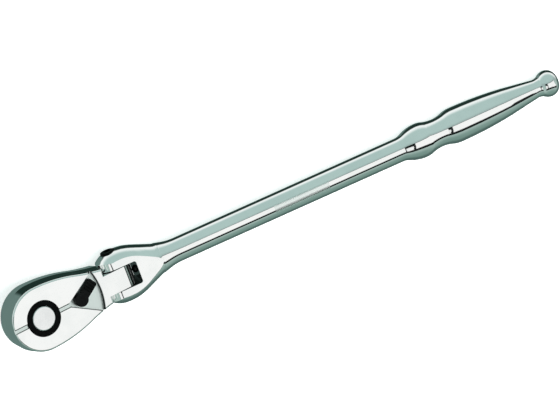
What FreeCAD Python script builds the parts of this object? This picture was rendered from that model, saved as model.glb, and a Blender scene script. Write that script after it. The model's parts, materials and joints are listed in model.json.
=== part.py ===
import FreeCAD, Part
import Sketcher
import math
import os

# Flex-head ratchet wrench, 3/8 inch (9.5 mm) square drive, about 285 mm long.
# Row frame: millimetres, +Z up, tool lying at rest on a table, handle toward +X.
# The origin is the centre of the flat shoulder where a socket seats on the drive.
#
# Head parts are drawn in the head frame: drive axis on Z, shoulder at Z = 0.
# Handle parts are drawn in the handle frame: flex pin at the origin, shaft on X.
# Lever parts are drawn in the lever frame: lever pivot at the origin, finger on X.

SIZES = (
    ("drive_square", 9.5),
    ("drive_length", 11.0),
    ("drive_corner", 0.9),
    ("tip_chamfer", 0.8),
    ("head_bottom", 0.5),
    ("head_thick", 14.5),
    ("head_half_width", 15.85),
    ("head_arc_x", -0.3),
    ("head_neck_x", 22.0),
    ("head_neck_half", 12.3),
    ("head_end_x", 35.0),
    ("head_end_half", 9.1),
    ("head_edge", 1.0),
    ("head_draft", 5.0),
    ("tang_half_width", 5.05),
    ("tang_radius", 7.65),
    ("pin_x", 42.7),
    ("pin_radius", 2.4),
    ("running_gap", 0.05),
    ("cover_thick", 1.5),
    ("cover_inset", 2.1),
    ("cover_side_radius", 60.0),
    ("cover_side_x", 20.0),
    ("cover_side_half", 10.2),
    ("cover_end_x", 29.0),
    ("cover_end_radius", 11.0),
    ("chamber_radius", 10.6),
    ("chamber_top", 9.4),
    ("pawl_room_top", 8.9),
    ("gear_bottom", 2.4),
    ("gear_top", 8.9),
    ("gear_radius", 10.2),
    ("gear_teeth", 36),
    ("tooth_depth", 1.0),
    ("tooth_gap_half", 0.7),
    ("journal_low", 8.0),
    ("journal_top", 8.45),
    ("ring_bottom", 14.0),
    ("ring_top", 15.1),
    ("button_radius", 5.65),
    ("button_top", 15.3),
    ("button_thick", 2.7),
    ("button_travel", 2.5),
    ("stem_radius", 1.45),
    ("cam_radius", 2.05),
    ("ball_radius", 1.6),
    ("ball_out", 3.75),
    ("ball_level", -5.5),
    ("groove_half", 1.12),
    ("groove_floor", 14.4),
    ("fan_floor", 13.0),
    ("fan_apex_x", 14.2),
    ("fan_corner_x", 29.3),
    ("fan_corner_half", 10.2),
    ("fan_rear_radius", 30.0),
    ("lever_x", 20.2),
    ("lever_hub", 3.3),
    ("lever_half", 2.4),
    ("lever_reach", 10.1),
    ("lever_bottom", 13.3),
    ("lever_top", 15.75),
    ("lever_rest", 34.0),
    ("spindle_radius", 2.0),
    ("spindle_hub", 2.6),
    ("cross_bore_height", 5.45),
    ("pawl_pin_x", 13.6),
    ("pawl_pin_radius", 1.0),
    ("pawl_rock", 6.0),
    ("pawl_bottom", 2.3),
    ("pawl_top", 8.6),
    ("pawl_back_x", 16.2),
    ("screw_radius", 0.9),
    ("screw_head", 1.6),
    ("fork_half_height", 7.25),
    ("flat_end", 21.9),
    ("slot_half", 5.4),
    ("slot_end", 9.4),
    ("slot_corner", 1.0),
    ("flex_angle", 8.6),
    ("shaft_radius", 5.67),
    ("knob_radius", 6.28),
    ("knob_x", 220.8),
    ("knob_end", 225.8),
    ("bolt_head", 3.5),
    ("bolt_out", 13.0),
    ("bolt_seat", 11.0),
    ("plunger_radius", 1.9),
)

doc = FreeCAD.newDocument("ratchet_wrench")
sheet = doc.addObject("Spreadsheet::Sheet", "dims")
for row, (alias, number) in enumerate(SIZES, start=1):
    sheet.set("A%d" % row, alias)
    sheet.set("B%d" % row, str(number))
    sheet.setAlias("B%d" % row, alias)
doc.recompute()


class Size:
    """A number together with the sheet expression that gives it."""

    def __init__(self, value, text):
        self.value = float(value)
        self.text = text

    def join(self, other, sign, value):
        return Size(value, "(%s %s %s)" % (self.text, sign, as_size(other).text))

    def __add__(self, other):
        return self.join(other, "+", self.value + as_size(other).value)

    def __sub__(self, other):
        return self.join(other, "-", self.value - as_size(other).value)

    def __mul__(self, other):
        return self.join(other, "*", self.value * as_size(other).value)

    def __truediv__(self, other):
        return self.join(other, "/", self.value / as_size(other).value)

    def __neg__(self):
        return self * -1


def as_size(item):
    return item if isinstance(item, Size) else Size(item, "%.6f" % item)


def dim(alias):
    """The named driving dimension."""
    return Size(sheet.get(alias), "dims." + alias)


def bind(thing, prop, item):
    """Tie one property of an object to the sheet."""
    thing.setExpression(prop, as_size(item).text)


# ---------------------------------------------------------------- sketches

def new_body(label):
    body = doc.addObject("PartDesign::Body", label)
    body.Label = label
    return body


def new_sketch(body, role, offset=0):
    """An empty sketch on one of the body's own planes, moved along its normal."""
    sketch = body.newObject("Sketcher::SketchObject", body.Label + "_sketch")
    base = [item for item in body.Origin.OriginFeatures if item.Role == role][0]
    sketch.AttachmentSupport = [(base, "")]
    sketch.MapMode = "FlatFace"
    bind(sketch, "AttachmentOffset.Base.z", offset)
    return sketch


def fix_value(sketch, kind, ends, item):
    """Add one dimension to a sketch and tie it to the sheet."""
    size = as_size(item)
    index = sketch.addConstraint(Sketcher.Constraint(kind, *ends, size.value))
    sketch.setExpression("Constraints[%d]" % index, size.text)


def fix_point(sketch, shape, end, x, y):
    fix_value(sketch, "DistanceX", (-1, 1, shape, end), x)
    fix_value(sketch, "DistanceY", (-1, 1, shape, end), y)


def circle(sketch, x, y, radius):
    centre = FreeCAD.Vector(as_size(x).value, as_size(y).value, 0)
    curve = Part.Circle(centre, FreeCAD.Vector(0, 0, 1), as_size(radius).value)
    index = sketch.addGeometry(curve, False)
    fix_point(sketch, index, 3, x, y)
    fix_value(sketch, "Radius", (index,), radius)


def arc_between(start, end, radius, turn):
    """The short arc from start to end; turn is 1 for left and -1 for right."""
    chord = end - start
    left = FreeCAD.Vector(-chord.y, chord.x, 0).normalize()
    depth = math.sqrt(max(radius ** 2 - (chord.Length / 2) ** 2, 0))
    centre = (start + end) * 0.5 + left * depth * turn
    first, last = (start, end) if turn > 0 else (end, start)
    angles = [math.atan2(p.y - centre.y, p.x - centre.x) for p in (first, last)]
    base = Part.Circle(centre, FreeCAD.Vector(0, 0, 1), radius)
    return Part.ArcOfCircle(base, angles[0], angles[1])


def outline(sketch, steps):
    """A closed outline. A step is (x, y), reached in a straight line, or
    (x, y, radius, turn), reached along an arc of that radius."""
    spots = [FreeCAD.Vector(as_size(s[0]).value, as_size(s[1]).value, 0) for s in steps]
    pieces = []
    for number, step in enumerate(steps):
        start, end = spots[number - 1], spots[number]
        if len(step) == 2:
            index = sketch.addGeometry(Part.LineSegment(start, end), False)
            pieces.append((index, 1, 2))
        else:
            turn = step[3]
            curve = arc_between(start, end, as_size(step[2]).value, turn)
            index = sketch.addGeometry(curve, False)
            pieces.append((index, 1, 2) if turn > 0 else (index, 2, 1))
    for number, (index, first, last) in enumerate(pieces):
        before = pieces[number - 1]
        sketch.addConstraint(Sketcher.Constraint("Coincident", before[0], before[2], index, first))
        fix_point(sketch, index, last, steps[number][0], steps[number][1])
        if len(steps[number]) == 4:
            fix_value(sketch, "Radius", (index,), steps[number][2])


def box_outline(sketch, x_low, x_high, y_low, y_high):
    outline(sketch, [(x_low, y_low), (x_high, y_low), (x_high, y_high), (x_low, y_high)])


def rounded_box(sketch, half_x, half_y, corner):
    """A rectangle about the sketch origin with rounded corners."""
    steps = []
    for sx, sy in ((1, 1), (-1, 1), (-1, -1), (1, -1)):
        side = (half_x * sx, (half_y - corner) * sy)
        flat = ((half_x - corner) * sx, half_y * sy)
        first, last = (side, flat) if sx == sy else (flat, side)
        steps.append(first)
        steps.append(last + (corner, 1))
    outline(sketch, steps)


# ---------------------------------------------------------------- features

def finish(body, feature):
    """Recompute, and stop the build when the feature added or cut nothing."""
    before = body.Shape.Volume if body.Shape and not body.Shape.isNull() else 0.0
    body.Tip = feature
    doc.recompute()
    if abs(body.Shape.Volume - before) < 1e-4:
        raise RuntimeError("%s: %s changed nothing" % (body.Label, feature.Name))
    for sketch in [item for item in body.Group if item.TypeId == "Sketcher::SketchObject"]:
        sketch.Visibility = False
    return feature


def solid(body, kind, sketch, length, both=False, up=True):
    """Pad or Pocket a sketch; a Pocket cuts toward +normal when up is true."""
    feature = body.newObject("PartDesign::" + kind, body.Label + "_" + kind.lower())
    feature.Profile = sketch
    bind(feature, "Length", length)
    feature.Midplane = both
    feature.Reversed = up if kind == "Pocket" else not up
    return finish(body, feature)


def drafted(body, sketch, reach, angle):
    """Pad a sketch both ways, drawing in with the draft angle of a forging."""
    feature = body.newObject("PartDesign::Pad", body.Label + "_forging")
    feature.Profile = sketch
    feature.SideType = "Two sides"
    for side in ("", "2"):
        bind(feature, "Length" + side, reach)
        bind(feature, "TaperAngle" + side, -angle)
    return finish(body, feature)


def turned(body, kind, sketch, role):
    """Revolution or Groove of a sketch about one of the body's own axes."""
    axis = [item for item in body.Origin.OriginFeatures if item.Role == role][0]
    feature = body.newObject("PartDesign::" + kind, body.Label + "_" + kind.lower())
    feature.Profile = sketch
    feature.ReferenceAxis = (axis, [""])
    feature.Angle = 360
    return finish(body, feature)


def pattern(body, feature, count, role):
    """Repeat one feature around an axis of the body."""
    axis = [item for item in body.Origin.OriginFeatures if item.Role == role][0]
    repeat = body.newObject("PartDesign::PolarPattern", body.Label + "_pattern")
    repeat.Originals = [feature]
    repeat.Axis = (axis, [""])
    repeat.Angle = 360
    bind(repeat, "Occurrences", count)
    return finish(body, repeat)


def dressed(body, kind, amount, chosen):
    """Fillet or Chamfer every edge of the tip for which chosen(edge) is true."""
    names = []
    base = body.Tip
    for number, edge in enumerate(base.Shape.Edges, start=1):
        if chosen(edge):
            names.append("Edge%d" % number)
    feature = body.newObject("PartDesign::" + kind, body.Label + "_" + kind.lower())
    feature.Base = (base, names)
    bind(feature, "Radius" if kind == "Fillet" else "Size", amount)
    return finish(body, feature)


def spread(edge, axis):
    """Lowest and highest reach of an edge along x, y or z."""
    values = [getattr(edge.valueAt(edge.getParameterByLength(edge.Length * part / 4.0)), axis)
              for part in range(5)]
    return min(values), max(values)


def level(edge, axis, height):
    low, high = spread(edge, axis)
    return abs(low - height) < 0.01 and abs(high - height) < 0.01


def coil(label, role, centre, wire, start, length, turns):
    """A compression spring wound about one of the body's own axes."""
    body = new_body(label)
    sketch = new_sketch(body, "XZ_Plane")
    if role == "Z_Axis":
        circle(sketch, centre, start, wire)
    else:
        circle(sketch, start, centre, wire)
    axis = [item for item in body.Origin.OriginFeatures if item.Role == role][0]
    helix = body.newObject("PartDesign::AdditiveHelix", label + "_helix")
    helix.Profile = sketch
    helix.ReferenceAxis = (axis, [""])
    helix.Mode = 2
    bind(helix, "Height", length)
    bind(helix, "Turns", turns)
    finish(body, helix)
    return body


# ---------------------------------------------------------------- head parts

def half_chord(radius, height):
    """Half the chord of a circle at this height above its centre."""
    reach = math.sqrt(radius.value ** 2 - height.value ** 2)
    return Size(reach, "(sqrt(%s * %s - %s * %s))" % (radius.text, radius.text, height.text, height.text))


head_top = dim("head_bottom") + dim("head_thick")
cover_top = dim("head_bottom") + dim("cover_thick")
pin_height = dim("head_bottom") + dim("head_thick") / 2


def head_side_radii():
    """Radii of the two side arcs of the head, each tangent to the one before it."""
    run = dim("head_neck_x") - dim("head_arc_x")
    fall = dim("head_half_width") - dim("head_neck_half")
    side = (run * run + fall * fall) / (fall * 2)
    run_2 = dim("head_end_x") - dim("head_neck_x")
    fall_2 = dim("head_neck_half") - dim("head_end_half")
    off_line = (run_2 * run - fall_2 * (side - fall)) / side
    neck = (run_2 * run_2 + fall_2 * fall_2) / (off_line * 2)
    return side, neck


def head_body():
    """Forged pear-shaped head with its tang, chambers and sunken lever pocket."""
    body = new_body("head_body")
    half = dim("head_half_width")
    arc_x = dim("head_arc_x")
    side_radius, neck_radius = head_side_radii()
    sketch = new_sketch(body, "XY_Plane", pin_height)
    outline(sketch, [
        (arc_x - half, 0, half, 1),
        (arc_x, -half, half, 1),
        (dim("head_neck_x"), -dim("head_neck_half"), side_radius, 1),
        (dim("head_end_x"), -dim("head_end_half"), neck_radius, -1),
        (dim("head_end_x"), dim("head_end_half")),
        (dim("head_neck_x"), dim("head_neck_half"), neck_radius, -1),
        (arc_x, half, side_radius, 1),
    ])
    drafted(body, sketch, dim("head_thick") / 2, dim("head_draft"))
    bottom, top = dim("head_bottom").value, head_top.value
    dressed(body, "Fillet", dim("head_edge"),
            lambda edge: level(edge, "z", bottom) or level(edge, "z", top))

    pin = dim("pin_x")
    flat = half_chord(dim("tang_radius"), dim("head_thick") / 2)
    sketch = new_sketch(body, "XZ_Plane")
    outline(sketch, [
        (dim("head_end_x") - 2, dim("head_bottom")),
        (pin + flat, dim("head_bottom")),
        (pin + dim("tang_radius"), pin_height, dim("tang_radius"), 1),
        (pin + flat, head_top, dim("tang_radius"), 1),
        (dim("head_end_x") - 2, head_top),
    ])
    solid(body, "Pad", sketch, dim("tang_half_width") * 2, both=True)

    sketch = new_sketch(body, "XZ_Plane")
    circle(sketch, pin, pin_height, dim("pin_radius") + dim("running_gap"))
    solid(body, "Pocket", sketch, 14, both=True)

    sketch = new_sketch(body, "XY_Plane", cover_top)
    cover_outline(sketch, 0)
    solid(body, "Pocket", sketch, 4, up=False)

    sketch = new_sketch(body, "XY_Plane", dim("chamber_top"))
    circle(sketch, 0, 0, dim("chamber_radius"))
    solid(body, "Pocket", sketch, 12, up=False)

    sketch = new_sketch(body, "XY_Plane", dim("pawl_room_top"))
    outline(sketch, [
        (5.5, -8.5), (8.4, -12.0), (11.5, -11.6), (17.4, -5.2), (23.3, -3.0),
        (23.3, 3.0), (17.4, 5.2), (11.5, 11.6), (8.4, 12.0), (5.5, 8.5),
    ])
    solid(body, "Pocket", sketch, 12, up=False)

    sketch = new_sketch(body, "XY_Plane")
    circle(sketch, 0, 0, dim("journal_top") + dim("running_gap"))
    circle(sketch, dim("lever_x"), 0, dim("spindle_radius") + dim("running_gap"))
    solid(body, "Pocket", sketch, 20)

    sketch = new_sketch(body, "XY_Plane")
    for x, y in cover_screw_spots():
        circle(sketch, x, y, dim("screw_radius"))
    solid(body, "Pocket", sketch, 8)

    sketch = new_sketch(body, "XY_Plane")
    circle(sketch, dim("pawl_pin_x"), 0, dim("pawl_pin_radius"))
    solid(body, "Pocket", sketch, 12)

    sketch = new_sketch(body, "XY_Plane", dim("groove_floor"))
    box_outline(sketch, -20, dim("fan_apex_x") + 1, -dim("groove_half"), dim("groove_half"))
    solid(body, "Pocket", sketch, 4)

    sketch = new_sketch(body, "XY_Plane", dim("fan_floor"))
    outline(sketch, [
        (dim("fan_apex_x"), dim("groove_half")),
        (dim("fan_apex_x"), -dim("groove_half")),
        (dim("fan_corner_x"), -dim("fan_corner_half")),
        (dim("fan_corner_x"), dim("fan_corner_half"), dim("fan_rear_radius"), 1),
    ])
    solid(body, "Pocket", sketch, 4)
    return body


def cover_outline(sketch, gap):
    """The pear outline of the cover plate, drawn smaller by gap."""
    radius = dim("head_half_width") - dim("cover_inset") - gap
    arc_x = dim("head_arc_x")
    side = dim("cover_side_half") - gap
    outline(sketch, [
        (arc_x - radius, 0, radius, 1),
        (arc_x, -radius, radius, 1),
        (dim("cover_side_x"), -side, dim("cover_side_radius"), 1),
        (dim("cover_end_x") - gap, 0, dim("cover_end_radius"), 1),
        (dim("cover_side_x"), side, dim("cover_end_radius"), 1),
        (arc_x, radius, dim("cover_side_radius"), 1),
    ])


def cover_screw_spots():
    return ((-8.4, 8.4), (-8.4, -8.4), (26.0, 0.0))


def cover_plate():
    """Steel plate that closes the head from below and carries the lower journal."""
    body = new_body("cover_plate")
    sketch = new_sketch(body, "XY_Plane", dim("head_bottom"))
    cover_outline(sketch, 0.1)
    solid(body, "Pad", sketch, dim("cover_thick"))
    sketch = new_sketch(body, "XY_Plane")
    circle(sketch, 0, 0, dim("journal_low") + dim("running_gap"))
    solid(body, "Pocket", sketch, 4)
    sketch = new_sketch(body, "XZ_Plane")
    box_outline(sketch, dim("journal_low") - 1, 9.15, 0.8, 1.8)
    turned(body, "Groove", sketch, "Z_Axis")
    for x, y in cover_screw_spots():
        sketch = new_sketch(body, "XY_Plane", dim("head_bottom"))
        circle(sketch, x, y, dim("screw_head"))
        solid(body, "Pocket", sketch, 0.7)
        sketch = new_sketch(body, "XY_Plane")
        circle(sketch, x, y, dim("screw_radius"))
        solid(body, "Pocket", sketch, 4)
    return body


def cover_screws():
    """Three flat-headed screws with hexagon sockets, one shape placed three times."""
    made = []
    for number, (x, y) in enumerate(cover_screw_spots(), start=1):
        shank = doc.addObject("Part::Cylinder", "screw_shank_%d" % number)
        bind(shank, "Radius", dim("screw_radius"))
        shank.Height = 6.5
        shank.Placement.Base = FreeCAD.Vector(x, y, 1.0)
        head = doc.addObject("Part::Cylinder", "screw_head_%d" % number)
        bind(head, "Radius", dim("screw_head") - 0.02)
        head.Height = 0.7
        head.Placement.Base = FreeCAD.Vector(x, y, 0.5)
        whole = doc.addObject("Part::Fuse", "screw_whole_%d" % number)
        whole.Base = shank
        whole.Tool = head
        socket = doc.addObject("Part::Prism", "screw_socket_%d" % number)
        socket.Polygon = 6
        socket.Circumradius = 0.85
        socket.Height = 1.2
        socket.Placement.Base = FreeCAD.Vector(x, y, 0.0)
        screw = doc.addObject("Part::Cut", "screw_%d" % number)
        screw.Base = whole
        screw.Tool = socket
        made.append(screw)
    group = doc.addObject("Part::Compound", "cover_screws")
    group.Links = made
    group.Label = "cover_screws"
    doc.recompute()
    return group


def flat_ring(label, inner, outer, low, high, edge=0):
    """A plain washer or ring about the drive axis, with one bevelled inner rim."""
    body = new_body(label)
    sketch = new_sketch(body, "XZ_Plane")
    if edge:
        steps = [(inner, low), (outer, low), (outer, high - edge), (outer - edge, high),
                 (inner + edge, high), (inner, high - edge)]
    else:
        steps = [(inner, low), (outer, low), (outer, high), (inner, high)]
    outline(sketch, steps)
    turned(body, "Revolution", sketch, "Z_Axis")
    return body


def round_ring(label, centre, wire, height):
    """A rubber O-ring about the Z axis."""
    body = new_body(label)
    sketch = new_sketch(body, "XZ_Plane")
    circle(sketch, centre, height, wire)
    turned(body, "Revolution", sketch, "Z_Axis")
    return body


def plain_pin(label, x, radius, low, high):
    body = new_body(label)
    sketch = new_sketch(body, "XY_Plane", low)
    circle(sketch, x, 0, radius)
    solid(body, "Pad", sketch, high - low)
    return body


def drive_anvil():
    """Square drive, journals and ratchet gear in one piece, bored for the button."""
    body = new_body("drive_anvil")
    half = dim("drive_square") / 2
    sketch = new_sketch(body, "XY_Plane", -dim("drive_length"))
    rounded_box(sketch, half, half, dim("drive_corner"))
    solid(body, "Pad", sketch, dim("drive_length") + 1)
    tip = -dim("drive_length").value
    dressed(body, "Chamfer", dim("tip_chamfer"), lambda edge: level(edge, "z", tip))

    sketch = new_sketch(body, "XZ_Plane")
    outline(sketch, [
        (0, 0),
        (dim("journal_low") - 0.3, 0),
        (dim("journal_low"), 0.3),
        (dim("journal_low"), dim("gear_bottom")),
        (dim("gear_radius"), dim("gear_bottom")),
        (dim("gear_radius"), dim("gear_top")),
        (dim("journal_top"), dim("gear_top")),
        (dim("journal_top"), dim("ring_bottom")),
        (0, dim("ring_bottom")),
    ])
    turned(body, "Revolution", sketch, "Z_Axis")

    sketch = new_sketch(body, "XY_Plane", dim("gear_bottom"))
    outline(sketch, [
        (dim("gear_radius") - dim("tooth_depth"), 0),
        (dim("gear_radius") + 0.3, -dim("tooth_gap_half") * 1.3),
        (dim("gear_radius") + 0.3, dim("tooth_gap_half") * 1.3),
    ])
    gap = solid(body, "Pocket", sketch, dim("gear_top") - dim("gear_bottom"))
    pattern(body, gap, dim("gear_teeth"), "Z_Axis")

    floor = dim("button_top") - dim("button_thick") - dim("button_travel") - 0.3
    sketch = new_sketch(body, "XZ_Plane")
    outline(sketch, [
        (0, -10.1),
        (dim("cam_radius") + 0.1, -10.1),
        (dim("cam_radius") + 0.1, 4.5),
        (3.2, 4.5),
        (3.2, floor),
        (dim("button_radius") + dim("running_gap"), floor),
        (dim("button_radius") + dim("running_gap"), 15),
        (0, 15),
    ])
    turned(body, "Groove", sketch, "Z_Axis")

    sketch = new_sketch(body, "YZ_Plane")
    circle(sketch, 0, dim("ball_level"), dim("ball_radius") + dim("running_gap"))
    solid(body, "Pocket", sketch, 8, up=False)
    return body


def button():
    """Quick-release button with its stem; the thick end of the stem is the cam."""
    body = new_body("release_button")
    top = dim("button_top")
    low = top - dim("button_thick")
    wide = dim("button_radius")
    sketch = new_sketch(body, "XZ_Plane")
    outline(sketch, [
        (0, -7.2),
        (dim("cam_radius") - 0.3, -7.2),
        (dim("cam_radius"), -6.9),
        (dim("cam_radius"), -5.4),
        (dim("stem_radius"), -2.6),
        (dim("stem_radius"), low),
        (wide, low),
        (wide, top - 0.5),
        (wide - 0.5, top, 0.5, 1),
        (0, top),
    ])
    turned(body, "Revolution", sketch, "Z_Axis")
    return body


def detent_ball():
    ball = doc.addObject("Part::Sphere", "detent_ball")
    bind(ball, "Radius", dim("ball_radius"))
    ball.Placement.Base = FreeCAD.Vector(-dim("ball_out").value, 0, dim("ball_level").value)
    doc.recompute()
    return ball


def pawl():
    """Two-winged pawl. Each wing is cut to follow the gear when rocked against it."""
    body = new_body("pawl")
    pin = dim("pawl_pin_x").value
    rock = math.radians(dim("pawl_rock").value)
    reach = dim("gear_radius").value + 0.12
    tooth = math.radians(360 / dim("gear_teeth").value)

    def wing_point(radius, angle):
        """A point beside the gear, turned back about the pin to the middle position."""
        x = radius * math.cos(angle) - pin
        y = radius * math.sin(angle)
        return (pin + x * math.cos(rock) + y * math.sin(rock),
                y * math.cos(rock) - x * math.sin(rock))

    upper = []
    for number in range(4):
        angle = tooth * (1.5 + number)
        upper.append(wing_point(reach + 0.8, angle - tooth / 2))
        upper.append(wing_point(reach, angle))
    upper.append(wing_point(reach + 0.8, tooth * 5.0))
    lower = [(x, -y) for x, y in upper]
    back = dim("pawl_back_x")
    sketch = new_sketch(body, "XY_Plane", dim("pawl_bottom"))
    outline(sketch, lower[::-1] + [(11.0, 0.0)] + upper + [
        (10.6, 10.1), (12.6, 8.6), (back, 3.6), (back, -3.6), (12.6, -8.6), (10.6, -10.1)])
    solid(body, "Pad", sketch, dim("pawl_top") - dim("pawl_bottom"))
    sketch = new_sketch(body, "XY_Plane")
    circle(sketch, dim("pawl_pin_x"), 0, dim("pawl_pin_radius") + dim("running_gap"))
    solid(body, "Pocket", sketch, 12)
    return body


# ---------------------------------------------------------------- lever parts

def lever():
    """Reversing lever: round hub, finger with cross ribs for the thumb."""
    body = new_body("reversing_lever")
    sketch = new_sketch(body, "XY_Plane", dim("lever_bottom"))
    circle(sketch, 0, 0, dim("lever_hub"))
    solid(body, "Pad", sketch, dim("lever_top") - dim("lever_bottom"))
    sketch = new_sketch(body, "XY_Plane", dim("lever_bottom"))
    box_outline(sketch, 0, dim("lever_reach"), -dim("lever_half"), dim("lever_half"))
    solid(body, "Pad", sketch, dim("lever_top") - dim("lever_bottom") - 0.35)
    tip = dim("lever_reach").value
    dressed(body, "Fillet", 1.1,
            lambda edge: level(edge, "x", tip) and spread(edge, "z")[1] - spread(edge, "z")[0] > 1)
    sketch = new_sketch(body, "XZ_Plane")
    base = dim("lever_top") - 0.35
    for number in range(4):
        start = dim("lever_reach") - 1.3 - number * 1.35
        outline(sketch, [(start, base - 0.2), (start + 0.8, base - 0.2), (start + 0.8, base),
                         (start + 0.55, base + 0.45), (start + 0.25, base + 0.45), (start, base)])
    solid(body, "Pad", sketch, dim("lever_half") * 2 - 0.5, both=True)
    sketch = new_sketch(body, "XY_Plane")
    circle(sketch, 0, 0, 1.6)
    solid(body, "Pocket", sketch, 15.0)
    return body


def spindle():
    """Turned spindle under the lever, bored across for the pawl plunger."""
    body = new_body("lever_spindle")
    hub = dim("spindle_hub")
    shaft = dim("spindle_radius")
    sketch = new_sketch(body, "XZ_Plane")
    outline(sketch, [
        (0, 2.4), (hub, 2.4), (hub, dim("pawl_top")), (shaft, dim("pawl_top")),
        (shaft, 11.0), (1.3, 11.0), (1.3, 11.75), (shaft, 11.75),
        (shaft, dim("lever_bottom")), (1.6, dim("lever_bottom")), (1.6, 15.0), (0, 15.0),
    ])
    turned(body, "Revolution", sketch, "Z_Axis")
    sketch = new_sketch(body, "YZ_Plane", 1.6)
    circle(sketch, 0, dim("cross_bore_height"), 0.95)
    solid(body, "Pocket", sketch, 6, up=False)
    return body


def pawl_plunger():
    body = new_body("pawl_plunger")
    sketch = new_sketch(body, "XY_Plane")
    outline(sketch, [(-3.6, 0), (-2.7, -0.9, 0.9, 1), (-0.6, -0.9), (-0.6, 0)])
    turned(body, "Revolution", sketch, "X_Axis")
    return body


# ---------------------------------------------------------------- handle parts

def ground_round(sketch, height, radius, offset):
    """Two round sides, their centres offset either side of the axis, between two flats."""
    flat = offset + half_chord(radius, height)
    side = offset + radius
    outline(sketch, [
        (-flat, height), (-side, 0, radius, 1), (-flat, -height, radius, 1),
        (flat, -height), (side, 0, radius, 1), (flat, height, radius, 1)])


def handle():
    """Fork, shaft, collar, grip and end knob forged as one bar.

    The fork has round sides and two ground flats; the flats run out where the
    round bar under them falls below their height.
    """
    body = new_body("handle")
    high = dim("fork_half_height")
    shaft = dim("shaft_radius")
    loops = []
    for x, bulge, offset in (
            (-7.6, 1.35, 0.4), (-5.5, 1.35, 2.1), (-2.5, 1.35, 3.7), (2.0, 1.35, 4.35),
            (7.3, 1.35, 3.85), (10.6, 1.25, 2.95), (14.0, 0.95, 1.9), (17.3, 0.65, 0.85),
            (20.0, 0.35, 0.05), (dim("flat_end"), 0.0, 0.05)):
        sketch = new_sketch(body, "YZ_Plane", x)
        ground_round(sketch, high, high + bulge, as_size(offset))
        loops.append(sketch)
    loft = body.newObject("PartDesign::AdditiveLoft", "fork_loft")
    loft.Profile = loops[0]
    loft.Sections = loops[1:]
    finish(body, loft)

    sketch = new_sketch(body, "XZ_Plane")
    outline(sketch, [
        (dim("flat_end"), 0),
        (dim("flat_end"), high),
        (24.0, 6.7, 45.0, 1),
        (31.0, shaft, 24.0, 1),
        (144.2, shaft),
        (147.6, 6.5, 7.2, 1),
        (155.4, 8.22, 18.5, -1),
        (159.4, 7.42, 10.4, -1),
        (164.0, 6.76, 16.4, 1),
        (168.0, 7.3, 15.1, 1),
        (173.5, 8.38, 14.6, -1),
        (199.3, 6.68, 197.0, -1),
        (213.6, 4.5),
        (217.0, 4.85, 5.0, 1),
        (dim("knob_x"), dim("knob_radius"), 5.8, -1),
        (dim("knob_end"), 1.28, 5.0, -1),
        (dim("knob_end"), 0),
    ])
    turned(body, "Revolution", sketch, "X_Axis")

    sketch = new_sketch(body, "XZ_Plane")
    rim = high + 0.05
    outline(sketch, [(-12, 12), (-12, -12), (0, -12), (0, -rim),
                     (-rim, 0, rim, -1), (0, rim, rim, -1), (0, 12)])
    solid(body, "Pocket", sketch, 40, both=True)

    sketch = new_sketch(body, "XY_Plane")
    edge = dim("slot_corner")
    side = dim("slot_half")
    outline(sketch, [
        (-12, side), (-12, -side), (dim("slot_end") - edge, -side),
        (dim("slot_end"), -side + edge, edge, 1), (dim("slot_end"), side - edge),
        (dim("slot_end") - edge, side, edge, 1)])
    solid(body, "Pocket", sketch, 30, both=True)

    sketch = new_sketch(body, "XZ_Plane")
    circle(sketch, 0, 0, dim("pin_radius"))
    solid(body, "Pocket", sketch, 40, both=True)
    sketch = new_sketch(body, "XZ_Plane", -dim("bolt_seat"))
    circle(sketch, 0, 0, dim("bolt_head") + 0.1)
    solid(body, "Pocket", sketch, 5, up=False)
    sketch = new_sketch(body, "YZ_Plane", 9.0)
    circle(sketch, 0, 0, dim("plunger_radius") + 0.03)
    solid(body, "Pocket", sketch, 11.3)
    return body


def flex_screw():
    """Black shoulder screw that pins the head in the fork."""
    body = new_body("flex_screw")
    sketch = new_sketch(body, "XY_Plane")
    shank = dim("pin_radius")
    head = dim("bolt_head")
    out = dim("bolt_out")
    outline(sketch, [
        (0, -12.2), (shank - 0.7, -12.2), (shank, -11.5), (shank, dim("bolt_seat")),
        (head, dim("bolt_seat")), (head, out - 0.45), (head - 0.45, out, 0.45, 1), (0, out)])
    turned(body, "Revolution", sketch, "Y_Axis")
    sketch = new_sketch(body, "XZ_Plane", -(out - 1.3))
    outline(sketch, [(1.75 * math.cos(math.radians(60 * k)), 1.75 * math.sin(math.radians(60 * k)))
                     for k in range(6)])
    solid(body, "Pocket", sketch, 4, up=False)
    return body


def friction_washers():
    """One thin washer on each side of the tang."""
    body = new_body("friction_washers")
    body.AllowCompound = True
    sketch = new_sketch(body, "XY_Plane")
    inner = dim("pin_radius")
    outer = dim("slot_half")
    for side in (1, -1):
        near = outer * side
        far = (outer - 0.25) * side
        steps = [(inner, near), (inner, far), (6.2, far), (6.2, near)]
        outline(sketch, steps)
    turned(body, "Revolution", sketch, "Y_Axis")
    return body


def flex_plunger():
    """Spring-loaded plunger in the bottom of the fork; it rubs on the round tang."""
    body = new_body("flex_plunger")
    sketch = new_sketch(body, "XY_Plane")
    wide = dim("plunger_radius")
    dome = 1.3
    radius = (wide * wide + dome * dome) / (2 * dome)
    tip = dim("tang_radius") + 0.15
    outline(sketch, [(tip, 0), (tip + dome, wide, radius, -1), (14.0, wide), (14.0, 0)])
    turned(body, "Revolution", sketch, "X_Axis")
    return body


# ---------------------------------------------------------------- placing

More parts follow.
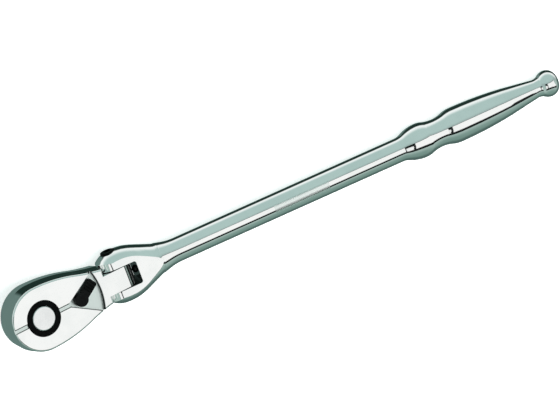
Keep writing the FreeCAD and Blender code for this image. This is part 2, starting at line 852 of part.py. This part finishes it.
def lie_angle():
    """Tilt of the handle that rests both the drive tip and the knob on one plane."""
    flex = math.radians(dim("flex_angle").value)
    tip_x = dim("drive_square").value / 2 - dim("tip_chamfer").value
    tip_z = -dim("drive_length").value
    low_x = tip_x * math.cos(flex) + tip_z * math.sin(flex)
    low_z = -tip_x * math.sin(flex) + tip_z * math.cos(flex)
    pin_x = dim("pin_x").value * math.cos(flex) + pin_height.value * math.sin(flex)
    pin_z = -dim("pin_x").value * math.sin(flex) + pin_height.value * math.cos(flex)
    run = pin_x + dim("knob_x").value - low_x
    rise = pin_z - low_z
    reach = math.hypot(run, rise)
    return math.degrees(math.atan2(rise, run) - math.asin(dim("knob_radius").value / reach))


def tilt(angle):
    return FreeCAD.Rotation(FreeCAD.Vector(0, 1, 0), angle)


HANDLE_TILT = lie_angle()
HEAD_TILT = HANDLE_TILT + dim("flex_angle").value
head_frame = FreeCAD.Placement(FreeCAD.Vector(0, 0, 0), tilt(HEAD_TILT))
pin_spot = head_frame.multVec(FreeCAD.Vector(dim("pin_x").value, 0, pin_height.value))
handle_frame = FreeCAD.Placement(pin_spot, tilt(HANDLE_TILT))
lever_turn = FreeCAD.Rotation(FreeCAD.Vector(0, 0, 1), dim("lever_rest").value)
lever_frame = head_frame.multiply(
    FreeCAD.Placement(FreeCAD.Vector(dim("lever_x").value, 0, 0), lever_turn))
cross_frame = lever_frame.multiply(
    FreeCAD.Placement(FreeCAD.Vector(0, 0, dim("cross_bore_height").value), tilt(0)))
pawl_turn = FreeCAD.Rotation(FreeCAD.Vector(0, 0, 1), -dim("pawl_rock").value)
pawl_spot = FreeCAD.Vector(dim("pawl_pin_x").value, 0, 0)
pawl_frame = head_frame.multiply(FreeCAD.Placement(
    pawl_spot - pawl_turn.multVec(pawl_spot), pawl_turn))

ring_in = dim("button_radius") + 0.1
spring_floor = dim("button_top") - dim("button_thick")
PARTS = (
    (handle_frame, [
        handle(), flex_screw(), friction_washers(), flex_plunger(),
        coil("flex_plunger_spring", "X_Axis", 1.3, 0.28, 14.4, 5.4, 5),
    ]),
    (head_frame, [
        head_body(), cover_plate(), cover_screws(),
        flat_ring("thrust_washer", dim("journal_top") + 0.1, dim("gear_radius"), 9.0, 9.4),
        round_ring("drive_seal", dim("journal_low") + 0.6, as_size(0.5), 1.3),
        plain_pin("pawl_pin", dim("pawl_pin_x"), dim("pawl_pin_radius"), as_size(2.0), as_size(12.0)),
        drive_anvil(),
        flat_ring("button_ring", ring_in, dim("journal_top"), dim("ring_bottom"), dim("ring_top"), 0.2),
        coil("button_spring", "Z_Axis", 2.4, 0.3, 4.85, spring_floor - 5.2, 6),
        button(), detent_ball(),
    ]),
    (pawl_frame, [pawl()]),
    (lever_frame, [
        lever(), spindle(), round_ring("lever_seal", as_size(1.64), as_size(0.33), 11.37),
    ]),
    (cross_frame, [
        pawl_plunger(),
        coil("pawl_plunger_spring", "X_Axis", 0.55, 0.14, -0.4, 1.8, 5),
    ]),
)

os.makedirs("parts", exist_ok=True)
placed = []
for frame, objects in PARTS:
    for item in objects:
        item.Placement = frame.multiply(item.Placement)
        placed.append(item)
doc.recompute()
for item in doc.Objects:
    if "Invalid" in item.State or "Error" in item.State:
        raise RuntimeError("%s: %s" % (item.Label, item.State))
for item in placed:
    if item.Shape.isNull() or not item.Shape.isValid():
        raise RuntimeError(item.Label + ": shape is not valid")
    item.Shape.exportStep("parts/%s.step" % item.Label)
print("%d parts, handle tilt %.4f" % (len(placed), HANDLE_TILT))
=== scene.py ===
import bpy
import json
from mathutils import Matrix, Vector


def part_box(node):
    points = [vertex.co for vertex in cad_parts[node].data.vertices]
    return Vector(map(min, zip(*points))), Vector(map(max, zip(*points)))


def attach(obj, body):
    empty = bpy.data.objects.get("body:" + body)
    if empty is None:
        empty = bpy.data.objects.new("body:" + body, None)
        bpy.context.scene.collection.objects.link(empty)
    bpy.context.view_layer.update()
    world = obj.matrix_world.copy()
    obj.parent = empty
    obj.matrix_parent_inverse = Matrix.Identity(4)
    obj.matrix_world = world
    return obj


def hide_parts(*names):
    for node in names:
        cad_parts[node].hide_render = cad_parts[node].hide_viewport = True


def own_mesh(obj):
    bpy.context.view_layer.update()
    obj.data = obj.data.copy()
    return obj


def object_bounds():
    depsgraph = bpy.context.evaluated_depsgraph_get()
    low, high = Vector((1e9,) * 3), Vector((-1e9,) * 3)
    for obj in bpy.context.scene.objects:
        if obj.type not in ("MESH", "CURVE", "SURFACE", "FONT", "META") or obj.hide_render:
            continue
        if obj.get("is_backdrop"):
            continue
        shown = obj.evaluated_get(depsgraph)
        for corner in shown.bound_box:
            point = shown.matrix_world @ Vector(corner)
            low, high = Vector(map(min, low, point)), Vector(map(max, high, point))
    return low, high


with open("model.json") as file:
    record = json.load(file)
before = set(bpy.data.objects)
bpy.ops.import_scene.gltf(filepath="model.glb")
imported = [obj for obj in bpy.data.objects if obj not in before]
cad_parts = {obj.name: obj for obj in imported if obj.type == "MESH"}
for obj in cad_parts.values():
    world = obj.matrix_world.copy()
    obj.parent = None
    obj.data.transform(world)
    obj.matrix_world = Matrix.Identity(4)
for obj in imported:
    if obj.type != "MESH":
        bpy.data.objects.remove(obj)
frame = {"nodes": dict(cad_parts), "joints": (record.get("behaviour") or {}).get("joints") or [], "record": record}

import json
import math

import bpy
from mathutils import Matrix, Vector

CAD_LOW, CAD_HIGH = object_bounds()
MM = 0.001
NODES = frame["nodes"]
JOINTS = {joint["name"]: joint for joint in frame["joints"]}


# ---------------------------------------------------------------- directions

def joint_axis(name):
    return Vector(JOINTS[name]["axis"]).normalized()


def joint_spot(name):
    return Vector(JOINTS[name]["pos_m"])


PIN = joint_spot("head_flex")
ACROSS = joint_axis("head_flex")
HEAD_UP = joint_axis("drive_spin")
HEAD_ALONG = ACROSS.cross(HEAD_UP)
TANG_PIN = PIN.dot(HEAD_ALONG)

# The handle's own axis runs from the pin through the flex plunger, which lies on it.
low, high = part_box("flex_plunger")
HANDLE_ALONG = ((low + high) / 2 - PIN).normalized()
HANDLE_UP = HANDLE_ALONG.cross(ACROSS)


def handle_point(along, across, up):
    """A point given in millimetres from the flex pin, in the handle's directions."""
    return PIN + (HANDLE_ALONG * along + ACROSS * across + HANDLE_UP * up) * MM


# ---------------------------------------------------------------- material tools

class Paint:
    """A small helper that adds and links shader nodes for one material."""

    def __init__(self, name):
        self.material = bpy.data.materials.new(name)
        self.material.use_nodes = True
        self.tree = self.material.node_tree
        self.shader = self.tree.nodes["Principled BSDF"]
        spots = self.add("ShaderNodeTexCoord")
        self.coords = spots.outputs["Object"]
        self.facing = spots.outputs["Normal"]

    def add(self, kind, **settings):
        node = self.tree.nodes.new(kind)
        for key, value in settings.items():
            setattr(node, key, value)
        return node

    def link(self, source, target):
        self.tree.links.new(source, target)
        return target

    def stretched(self, scale, turn=(0, 0, 0)):
        """Object coordinates scaled per axis."""
        node = self.add("ShaderNodeMapping")
        node.inputs["Scale"].default_value = scale
        node.inputs["Rotation"].default_value = turn
        self.link(self.coords, node.inputs["Vector"])
        return node.outputs["Vector"]

    def noise(self, scale, detail=3.0, rough=0.5, coords=None):
        node = self.add("ShaderNodeTexNoise")
        node.inputs["Scale"].default_value = scale
        node.inputs["Detail"].default_value = detail
        node.inputs["Roughness"].default_value = rough
        self.link(coords or self.coords, node.inputs["Vector"])
        return node.outputs["Fac"]

    def ramp(self, value, low, high, to_low=0.0, to_high=1.0):
        node = self.add("ShaderNodeMapRange", interpolation_type="SMOOTHSTEP")
        node.inputs["From Min"].default_value = low
        node.inputs["From Max"].default_value = high
        node.inputs["To Min"].default_value = to_low
        node.inputs["To Max"].default_value = to_high
        self.link(value, node.inputs["Value"])
        return node.outputs["Result"]

    def math(self, operation, first, second):
        node = self.add("ShaderNodeMath", operation=operation)
        for socket, value in zip(node.inputs, (first, second)):
            if isinstance(value, (int, float)):
                socket.default_value = value
            else:
                self.link(value, socket)
        return node.outputs["Value"]

    def mix(self, factor, first, second):
        node = self.add("ShaderNodeMix", data_type="RGBA")
        self.link(factor, node.inputs["Factor"])
        for name, value in (("A", first), ("B", second)):
            socket = [item for item in node.inputs if item.name == name and item.type == "RGBA"][0]
            if isinstance(value, tuple):
                socket.default_value = value + (1.0,)
            else:
                self.link(value, socket)
        return [item for item in node.outputs if item.type == "RGBA"][0]

    def bump(self, height, strength, distance, under=None):
        node = self.add("ShaderNodeBump")
        node.inputs["Strength"].default_value = strength
        node.inputs["Distance"].default_value = distance
        self.link(height, node.inputs["Height"])
        if under is not None:
            self.link(under, node.inputs["Normal"])
        return node.outputs["Normal"]

    def soft_edges(self, radius):
        """Normals rounded over the sharp edges of the shape."""
        node = self.add("ShaderNodeBevel", samples=6)
        node.inputs["Radius"].default_value = radius
        return node.outputs["Normal"]

    def along(self, source, direction, origin=Vector()):
        """Distance of a point or normal along one direction, from an origin."""
        node = self.add("ShaderNodeVectorMath", operation="DOT_PRODUCT")
        node.inputs[1].default_value = direction
        self.link(source, node.inputs[0])
        return self.math("SUBTRACT", node.outputs["Value"], origin.dot(direction))

    def band(self, value, low, high, soft):
        """1 where value lies between low and high, with soft ends."""
        rise = self.ramp(value, low - soft, low + soft)
        fall = self.ramp(value, high - soft, high + soft, 1.0, 0.0)
        return self.math("MULTIPLY", rise, fall)

    def all_of(self, *masks):
        """The product of several masks."""
        result = masks[0]
        for mask in masks[1:]:
            result = self.math("MULTIPLY", result, mask)
        return result

    def set(self, **values):
        for key, value in values.items():
            socket = self.shader.inputs[key.replace("_", " ")]
            if isinstance(value, (int, float)):
                socket.default_value = value
            elif isinstance(value, tuple):
                socket.default_value = value + (1.0,)
            else:
                self.link(value, socket)


def scratches(paint, direction_scale, amount):
    """Fine hairline marks: stretched noise cut to thin lines, returned as a height."""
    fine = paint.noise(1.0, 2.0, 0.5, paint.stretched(direction_scale))
    line = paint.ramp(fine, 0.49, 0.5, 0.0, 1.0)
    line_2 = paint.ramp(fine, 0.5, 0.51, 1.0, 0.0)
    return paint.math("MULTIPLY", paint.math("MULTIPLY", line, line_2), amount)


def chrome(name, light, dark, rough=0.045, zones=None):
    """Polished chrome plate with faint tone change, wipe marks and hairlines.

    zones(paint) may return two masks: satin ground areas and painted shade in corners and recesses.
    """
    paint = Paint(name)
    cloud = paint.noise(70.0, 4.0, 0.6)
    smear = paint.noise(1.0, 4.0, 0.6, paint.stretched((60.0, 420.0, 420.0)))
    wear = paint.ramp(paint.math("MULTIPLY", cloud, smear), 0.2, 0.42)
    hair = scratches(paint, (300.0, 5200.0, 5200.0), 1.0)
    hair_2 = scratches(paint, (3900.0, 260.0, 900.0), 1.0)
    marks = paint.math("ADD", hair, hair_2)
    colour = paint.mix(paint.ramp(cloud, 0.35, 0.65), light, dark)
    roughness = paint.math("ADD", paint.math("MULTIPLY", wear, 0.035), rough)
    roughness = paint.math("ADD", paint.math("MULTIPLY", marks, 0.05), roughness)
    if zones:
        satin, painted_shade = zones(paint)
        grit = paint.noise(3000.0, 2.0, 0.6)
        frosted = paint.mix(grit, (0.70, 0.79, 0.76), (0.78, 0.87, 0.84))
        colour = paint.mix(satin, colour, frosted)
        # Painted shade: near-black colour in the pocket corners, on the floor beside the walls, on the tang's end
        # and inside the fork's slot.
        colour = paint.mix(painted_shade, colour, (0.014, 0.017, 0.016))
        roughness = paint.math("ADD", paint.math("MULTIPLY", satin, 0.3), roughness)
    ripple = paint.noise(160.0, 2.0, 0.5)
    normal = paint.bump(ripple, 0.05, 0.00002, paint.soft_edges(0.00014))
    normal = paint.bump(marks, 0.06, 0.000004, normal)
    paint.set(Base_Color=colour, Metallic=1.0, Roughness=roughness, Normal=normal)
    if zones:
        # Painted-shade areas are dull and not metallic, so that they stay dark at a low angle.
        paint.set(Metallic=paint.math("SUBTRACT", 1.0, painted_shade))
        paint.shader.inputs["Specular IOR Level"].default_value = 0.05
    return paint.material


def head_zones(paint):
    """Satin floors of the sunken groove and lever pocket, with painted shade in the corners.

    The pocket's sides run out from the groove at a slope and its rear wall is an arc about a centre on the head's
    middle line. The tang's round end carries painted shade too: a dark line and a dark end.
    """
    along = paint.along(paint.coords, HEAD_ALONG)
    across = paint.math("ABSOLUTE", paint.along(paint.coords, ACROSS), 0.0)
    height = paint.along(paint.coords, HEAD_UP)
    up = paint.along(paint.facing, HEAD_UP)
    sunk = paint.ramp(height, 14.84 * MM, 14.90 * MM, 1.0, 0.0)
    floors = paint.all_of(sunk, paint.ramp(up, 0.8, 0.95), paint.ramp(height, 12.5 * MM, 12.6 * MM))

    apex, corner_x, corner_y, groove = 14.2 * MM, 29.3 * MM, 10.2 * MM, 1.12 * MM
    slope = (corner_y - groove) / (corner_x - apex)
    rear_radius = 30.0 * MM
    rear_centre = corner_x - math.sqrt(rear_radius ** 2 - corner_y ** 2)
    run = paint.math("MAXIMUM", paint.math("SUBTRACT", along, apex), 0.0)
    edge = paint.math("ADD", paint.math("MULTIPLY", run, slope), groove)
    from_side = paint.math("MULTIPLY", paint.math("SUBTRACT", edge, across), 1 / math.hypot(1, slope))
    reach = paint.math("MAXIMUM", paint.math("SUBTRACT", along, rear_centre), 0.0)
    reach = paint.math("POWER", paint.math("ADD", paint.math("MULTIPLY", reach, reach),
                                           paint.math("MULTIPLY", across, across)), 0.5)
    from_rear = paint.math("SUBTRACT", rear_radius, reach)
    # Painted shadow: the band is widened on the upper side, where a wall shades the floor beside it.
    upper = paint.ramp(paint.along(paint.coords, ACROSS), 0.0, 0.1 * MM, 0.0, 0.3 * MM)
    gap = paint.math("SUBTRACT", paint.math("ABSOLUTE", from_side, 0.0), upper)
    side = paint.ramp(gap, 0.10 * MM, 0.26 * MM, 1.0, 0.0)
    rear = paint.ramp(paint.math("ABSOLUTE", from_rear, 0.0), 0.10 * MM, 0.32 * MM, 1.0, 0.0)
    inner = paint.ramp(height, 12.7 * MM, 12.8 * MM)
    side = paint.all_of(side, paint.ramp(from_rear, -0.2 * MM, 0.0))
    rear = paint.all_of(rear, paint.ramp(from_side, -0.1 * MM, 0.1 * MM))
    behind_nose = paint.ramp(along, -15.2 * MM, -15.0 * MM)
    # Painted shade along the pocket's side and rear walls.
    painted_shade = paint.all_of(paint.math("MAXIMUM", side, rear), sunk, inner, behind_nose)

    # Painted shade on the tang: a dark line near the pin and a dark round end.
    past_pin = paint.math("SUBTRACT", along, TANG_PIN)
    lip = paint.band(past_pin, 2.35 * MM, 2.95 * MM, 0.08 * MM)
    end = paint.ramp(past_pin, 4.7 * MM, 5.0 * MM)
    painted_shade = paint.math("MAXIMUM", painted_shade, paint.math("MAXIMUM", lip, end))
    return floors, painted_shade


def handle_zones(paint):
    """A plain satin panel on the shaft, and painted shade inside the fork's slot."""
    slot_start, slot_end, slot_half = -8.0 * MM, 9.44 * MM, 5.44 * MM
    along = paint.along(paint.coords, HANDLE_ALONG, PIN)
    across = paint.along(paint.coords, ACROSS, PIN)
    height = paint.along(paint.coords, HANDLE_UP, PIN)
    panel = paint.all_of(
        paint.band(along, 79 * MM, 107 * MM, 0.15 * MM),
        paint.band(across, -2.0 * MM, 2.0 * MM, 0.12 * MM),
        paint.ramp(height, 3.0 * MM, 3.4 * MM))
    # Painted shade: the slot's inside, below the top face, is made near black.
    wall = paint.ramp(height, 7.19 * MM, 7.22 * MM, 1.0, 0.0)
    slot = paint.all_of(
        paint.band(along, slot_start, slot_end, 0.02 * MM),
        paint.band(across, -slot_half, slot_half, 0.02 * MM), wall)
    return paint.math("MULTIPLY", panel, 0.6), slot


def steel(name, light, dark, rough=0.28, grain=(2600.0, 2600.0, 260.0)):
    """Ground or drawn steel: directional grain, mottled tone and oily patches."""
    paint = Paint(name)
    lines = paint.noise(1.0, 3.0, 0.6, paint.stretched(grain))
    patch = paint.noise(240.0, 4.0, 0.6)
    colour = paint.mix(paint.ramp(patch, 0.3, 0.7), light, dark)
    roughness = paint.ramp(paint.math("ADD", lines, patch), 0.7, 1.3, rough - 0.08, rough + 0.12)
    normal = paint.bump(lines, 0.25, 0.00001)
    paint.set(Base_Color=colour, Metallic=1.0, Roughness=roughness, Normal=normal)
    return paint.material


def black_oxide(name):
    """Black oxide on steel: near black, satin, rubbed a little brighter in patches."""
    paint = Paint(name)
    patch = paint.noise(600.0, 5.0, 0.65)
    rub = paint.ramp(paint.noise(1800.0, 3.0, 0.6), 0.56, 0.72)
    colour = paint.mix(paint.ramp(patch, 0.3, 0.7), (0.001, 0.0012, 0.0012), (0.003, 0.0035, 0.0035))
    colour = paint.mix(rub, colour, (0.010, 0.011, 0.011))
    roughness = paint.ramp(patch, 0.3, 0.7, 0.3, 0.48)
    normal = paint.bump(patch, 0.2, 0.00001, paint.soft_edges(0.0001))
    paint.set(Base_Color=colour, Metallic=0.55, Roughness=roughness, Normal=normal)
    paint.shader.inputs["Specular IOR Level"].default_value = 0.06
    return paint.material


def black_plastic(name):
    """Moulded black plastic with a fine spark-eroded grain."""
    paint = Paint(name)
    grain = paint.noise(3800.0, 3.0, 0.6)
    patch = paint.noise(320.0, 4.0, 0.6)
    colour = paint.mix(paint.ramp(patch, 0.3, 0.7), (0.001, 0.0012, 0.0012), (0.004, 0.0045, 0.0045))
    roughness = paint.ramp(paint.math("ADD", grain, patch), 0.7, 1.3, 0.3, 0.5)
    normal = paint.bump(grain, 0.3, 0.00002, paint.soft_edges(0.00012))
    paint.set(Base_Color=colour, Roughness=roughness, Normal=normal)
    paint.shader.inputs["Specular IOR Level"].default_value = 0.08
    return paint.material


def rubber(name):
    """Matt black rubber with a dusty bloom."""
    paint = Paint(name)
    bloom = paint.noise(900.0, 4.0, 0.6)
    colour = paint.mix(paint.ramp(bloom, 0.4, 0.8), (0.012, 0.012, 0.012), (0.035, 0.034, 0.032))
    normal = paint.bump(bloom, 0.2, 0.00002)
    paint.set(Base_Color=colour, Roughness=paint.ramp(bloom, 0.3, 0.7, 0.6, 0.85), Normal=normal)
    return paint.material


def floor_paint():
    """Plain pale paper sweep."""
    paint = Paint("studio_paper")
    fleck = paint.noise(900.0, 4.0, 0.6)
    colour = paint.mix(fleck, (0.86, 0.865, 0.86), (0.89, 0.89, 0.885))
    paint.set(Base_Color=colour, Roughness=0.9, Emission_Color=(1.0, 1.0, 1.0), Emission_Strength=0.6)
    return paint.material


CHROME_LIGHT = (0.93, 0.945, 0.935)
CHROME_DARK = (0.88, 0.905, 0.895)
CHROME = chrome("polished_chrome", CHROME_LIGHT, CHROME_DARK)
HEAD_CHROME = chrome("head_chrome", CHROME_LIGHT, CHROME_DARK, zones=head_zones)
HANDLE_CHROME = chrome("handle_chrome", CHROME_LIGHT, CHROME_DARK, zones=handle_zones)
BUTTON_CHROME = chrome("button_chrome", (0.86, 0.88, 0.875), (0.78, 0.80, 0.795), 0.16)
GROUND = steel("ground_steel", (0.60, 0.60, 0.585), (0.48, 0.48, 0.47))
DRIVE = steel("drive_steel", (0.70, 0.705, 0.69), (0.58, 0.585, 0.575), 0.22)
# Near-black steel for the parts inside the fork: painted shade.
SLOT_SHADE_STEEL = steel("slot_shade_steel", (0.060, 0.062, 0.060), (0.030, 0.031, 0.030), 0.34)
WIRE = steel("spring_wire", (0.50, 0.50, 0.49), (0.38, 0.38, 0.375), 0.3, (900.0, 900.0, 900.0))
OXIDE = black_oxide("black_oxide_steel")
PLASTIC = black_plastic("black_moulded_plastic")
RUBBER = rubber("seal_rubber")

FINISH = {
    "chrome_handle": HANDLE_CHROME, "chrome_head": HEAD_CHROME, "chrome_cover": CHROME,
    "chrome_button": BUTTON_CHROME, "black_oxide": OXIDE, "black_ring": OXIDE,
    "black_lever": PLASTIC, "bare_steel": GROUND, "drive_steel": DRIVE,
    "spring_steel": WIRE, "black_rubber": RUBBER,
}

# Parts inside the fork that are painted near black as shade.
SLOT_SHADE_NODES = ("friction_washers", "flex_plunger")


def dress_nodes():
    """Give every CAD node the finish of its slot in the record; the parts inside the fork get near-black steel as
    painted shade.
    """
    for part in frame["record"]["subparts"]:
        node = NODES[part["node"]]
        finish = SLOT_SHADE_STEEL if part["node"] in SLOT_SHADE_NODES else FINISH[part["material_slot"]]
        node.data.materials.clear()
        node.data.materials.append(finish)


def make_button_spring():
    """The release button's spring: a copy of its mesh, carried with the drive, which keeps its rest length."""
    node = NODES["button_spring"]
    spring = bpy.data.objects.new("button_spring_coil", node.data.copy())
    spring.matrix_world = node.matrix_world.copy()
    bpy.context.scene.collection.objects.link(spring)
    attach(spring, "drive")
    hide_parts("button_spring")
    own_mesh(spring)


dress_nodes()
make_button_spring()


# ---------------------------------------------------------------- studio

def make_floor():
    """A wide flat floor just under the tool, which the chrome does not reflect."""
    bottom = CAD_LOW.z - 0.00002
    mesh = bpy.data.meshes.new("studio_floor")
    reach = 2.5
    corners = [(-reach, -reach, bottom), (reach, -reach, bottom),
               (reach, reach, bottom), (-reach, reach, bottom)]
    mesh.from_pydata(corners, [], [(0, 1, 2, 3)])
    mesh.materials.append(floor_paint())
    floor = bpy.data.objects.new("studio_floor", mesh)
    floor.visible_glossy = False
    bpy.context.scene.collection.objects.link(floor)
    floor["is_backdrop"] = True


class WorldPaint(Paint):
    """The same helper for a world, which is painted by direction."""

    def __init__(self, world):
        world.use_nodes = True
        self.tree = world.node_tree
        self.coords = self.add("ShaderNodeTexCoord").outputs["Generated"]


def make_world():
    """A pale room: two overhead softboxes in a dark frame, darker toward the ground."""
    world = bpy.data.worlds.new("studio")
    bpy.context.scene.world = world
    paint = WorldPaint(world)
    split = paint.add("ShaderNodeSeparateXYZ")
    paint.link(paint.coords, split.inputs["Vector"])
    x, y, z = split.outputs

    left = paint.mix(paint.ramp(y, -0.99, -0.6), (0.19, 0.30, 0.265), (0.42, 0.54, 0.50))
    right = paint.mix(paint.ramp(y, 0.22, 0.5), (0.35, 0.45, 0.435), (0.44, 0.585, 0.56))
    sky = paint.mix(paint.ramp(y, -0.2, 0.2), left, right)
    lean = paint.math("ADD", y, paint.math("MULTIPLY", paint.math("SUBTRACT", x, 0.21), 0.9))
    below = paint.mix(paint.ramp(lean, 0.18, 0.30), (0.135, 0.21, 0.192), (0.014, 0.032, 0.026))
    below = paint.mix(paint.ramp(y, -0.8, -0.5), (0.075, 0.125, 0.112), below)
    skirt = paint.mix(paint.ramp(y, -0.2, 0.3), (0.09, 0.15, 0.135), (0.93, 0.97, 0.96))
    ground = paint.mix(paint.ramp(z, -0.58, -0.46), below, skirt)
    room = paint.mix(paint.ramp(z, -0.36, 0.10), ground, sky)

    above = paint.ramp(z, 0.05, 0.15)
    dark = paint.all_of(paint.band(y, -0.66, 0.235, 0.012), paint.band(x, -0.6, 0.86, 0.02), above)
    lamp = paint.all_of(paint.band(y, -0.49, 0.20, 0.012), paint.band(x, -0.24, 0.86, 0.01), above)
    panel = paint.all_of(paint.band(y, -0.49, -0.02, 0.012), paint.band(x, -0.58, -0.35, 0.01), above)
    room = paint.mix(dark, room, (0.010, 0.014, 0.013))
    room = paint.mix(paint.math("MAXIMUM", lamp, panel), room, (0.98, 0.98, 0.975))
    paint.link(room, paint.tree.nodes["Background"].inputs["Color"])


def make_lamp():
    """Soft overhead light on the floor; the chrome reflects the painted room instead."""
    data = bpy.data.lights.new("overhead", "AREA")
    data.shape = "RECTANGLE"
    data.size = 1.2
    data.size_y = 0.8
    data.energy = 16.0
    lamp = bpy.data.objects.new("overhead", data)
    lamp.location = (0.25, -0.1, 1.3)
    lamp.visible_glossy = False
    bpy.context.scene.collection.objects.link(lamp)


def make_camera():
    """The camera looks down on the lever side, from beyond the drive end."""
    right = HANDLE_ALONG * 0.8927 - ACROSS * 0.3390 + HANDLE_UP * 0.2969
    above = HANDLE_ALONG * 0.4012 + ACROSS * 0.8982 - HANDLE_UP * 0.1803
    back = right.cross(above).normalized()
    above = back.cross(right).normalized()
    turn = Matrix((right.normalized(), above, back)).transposed()
    aim = handle_point(82.2, 0, 0) - above * 0.00255 + right * 0.00115
    distance = 7.1111
    data = bpy.data.cameras.new("camera")
    data.lens = 1000.0
    data.sensor_width = 36.0
    camera = bpy.data.objects.new("camera", data)
    camera.matrix_world = Matrix.Translation(aim + back * distance) @ turn.to_4x4()
    bpy.context.scene.collection.objects.link(camera)
    bpy.context.scene.camera = camera


make_floor()
make_world()
make_lamp()
make_camera()
bpy.context.scene.view_settings.view_transform = "Standard"

low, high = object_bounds()
